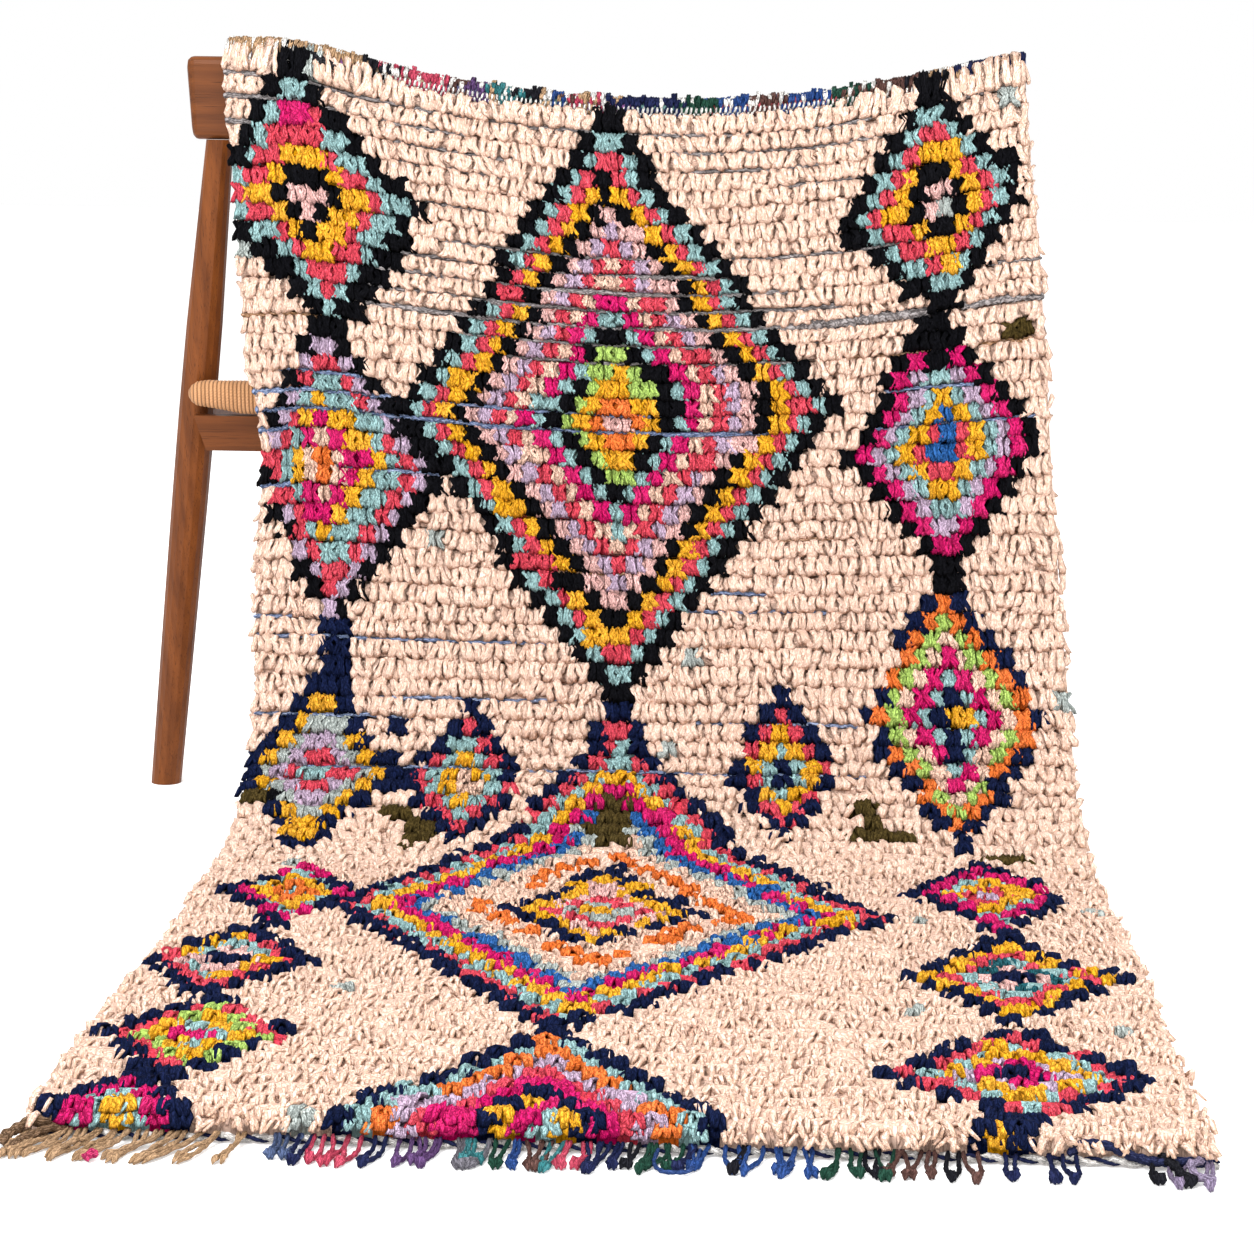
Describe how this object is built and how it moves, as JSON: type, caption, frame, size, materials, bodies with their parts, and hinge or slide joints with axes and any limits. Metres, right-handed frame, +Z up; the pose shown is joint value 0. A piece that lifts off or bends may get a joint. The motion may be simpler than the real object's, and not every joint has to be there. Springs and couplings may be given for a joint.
{
  "type": "boucherouite rag rug draped over a wooden settee chair",
  "caption": "Shaggy boucherouite rag rug with diamond pattern, hung over a plain wooden chair's crest rail and swept forward on to the floor, its knotted fringe lying flat.",
  "frame": {"origin": "middle of the bounding box, on the floor that the rug and the chair's feet stand on", "axes": "+Z up; -Y towards the rug's near, fringed end on the floor; +Y towards the chair's seat, behind the hanging rug; X across the rug"},
  "size_m": [1.0552, 1.7006, 0.8555],
  "materials": {
    "rag_pile": "matte cream rag pile with coloured knots",
    "warp_cord": "matte plied warp cord, dyed in many colours",
    "oiled_wood": "oiled satin, warm mid brown",
    "paper_cord": "matte twisted paper cord"
  },
  "bodies": {
    "root": {"rug_cloth": "rag_pile", "near_fringe": "warp_cord", "far_fringe": "warp_cord", "crest_rail": "oiled_wood", "rear_post_left": "oiled_wood", "rear_post_right": "oiled_wood", "front_leg_left": "oiled_wood", "front_leg_right": "oiled_wood", "apron_rear": "oiled_wood", "apron_front": "oiled_wood", "apron_left": "oiled_wood", "apron_right": "oiled_wood", "seat_rail_rear": "paper_cord", "seat_panel": "paper_cord"}
  },
  "joints": []
}
